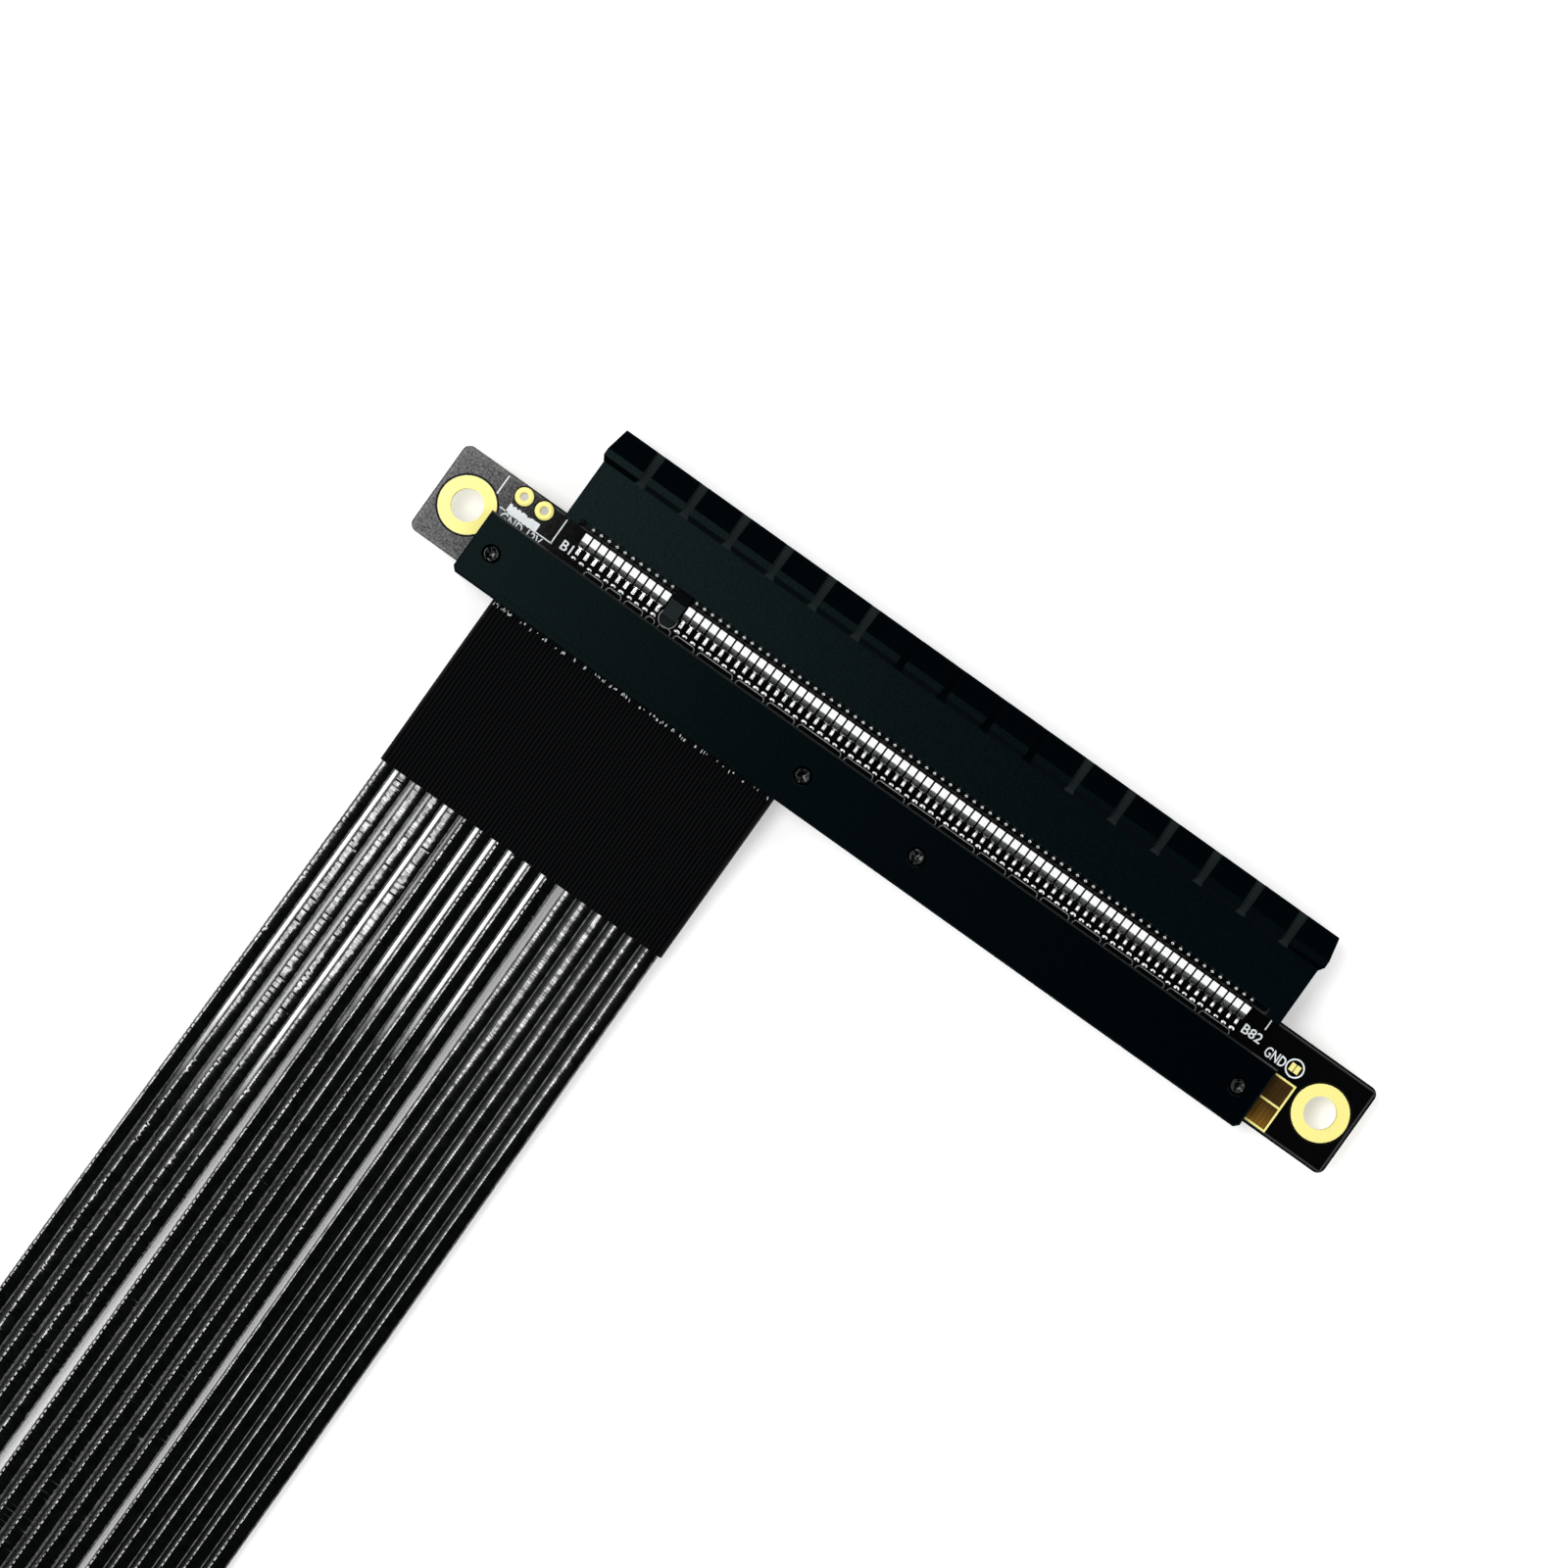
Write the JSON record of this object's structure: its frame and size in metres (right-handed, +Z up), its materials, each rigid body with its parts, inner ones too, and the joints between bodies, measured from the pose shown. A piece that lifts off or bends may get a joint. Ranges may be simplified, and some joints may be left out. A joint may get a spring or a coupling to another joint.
{
  "type": "pcie extension cable",
  "caption": "Flat ribbon of shielded pair cables that carries a card slot away from its host board, with a slot socket on a drilled board at one end and a card edge plug at the other.",
  "frame": {"origin": "under the middle of the socket end, on the surface that it lies on", "axes": "+X along the contact rows from the key end, +Y out of the socket's mouth, +Z up"},
  "size_m": [0.115, 0.2459, 0.0075],
  "materials": {
    "socket_plastic": "fine grained moulded black plastic",
    "contact_tin": "bright tin plated spring metal",
    "board_black": "black solder mask, semi gloss",
    "gold_plating": "pale gold plating",
    "cover_plastic": "satin black moulded plastic",
    "wrap_cloth": "black cloth tape with fine ribs",
    "cable_film": "black wound film with bright ridges"
  },
  "bodies": {
    "root": {"socket_housing": "socket_plastic", "socket_contacts_row_b": "contact_tin", "socket_contacts_row_a": "contact_tin", "socket_board": "board_black", "mounting_hole_plating": "gold_plating", "socket_cover_top": "cover_plastic", "socket_cover_bottom": "cover_plastic", "wrap_socket_end": "wrap_cloth", "wrap_plug_end": "wrap_cloth", "plug_board": "board_black", "plug_fingers_b": "gold_plating", "plug_fingers_a": "gold_plating", "plug_cover_top": "cover_plastic", "plug_cover_bottom": "cover_plastic", "pair_cable_b01": "cable_film", "pair_cable_b02": "cable_film", "pair_cable_b03": "cable_film", "pair_cable_b04": "cable_film", "pair_cable_b05": "cable_film", "pair_cable_b06": "cable_film", "pair_cable_b07": "cable_film", "pair_cable_b08": "cable_film", "pair_cable_b09": "cable_film", "pair_cable_b10": "cable_film", "pair_cable_b11": "cable_film", "pair_cable_b12": "cable_film", "pair_cable_b13": "cable_film", "pair_cable_b14": "cable_film", "pair_cable_b15": "cable_film", "pair_cable_b16": "cable_film", "pair_cable_b17": "cable_film", "pair_cable_a01": "cable_film", "pair_cable_a02": "cable_film", "pair_cable_a03": "cable_film", "pair_cable_a04": "cable_film", "pair_cable_a05": "cable_film", "pair_cable_a06": "cable_film", "pair_cable_a07": "cable_film", "pair_cable_a08": "cable_film", "pair_cable_a09": "cable_film", "pair_cable_a10": "cable_film", "pair_cable_a11": "cable_film", "pair_cable_a12": "cable_film", "pair_cable_a13": "cable_film", "pair_cable_a14": "cable_film", "pair_cable_a15": "cable_film", "pair_cable_a16": "cable_film", "pair_cable_a17": "cable_film"}
  },
  "joints": []
}
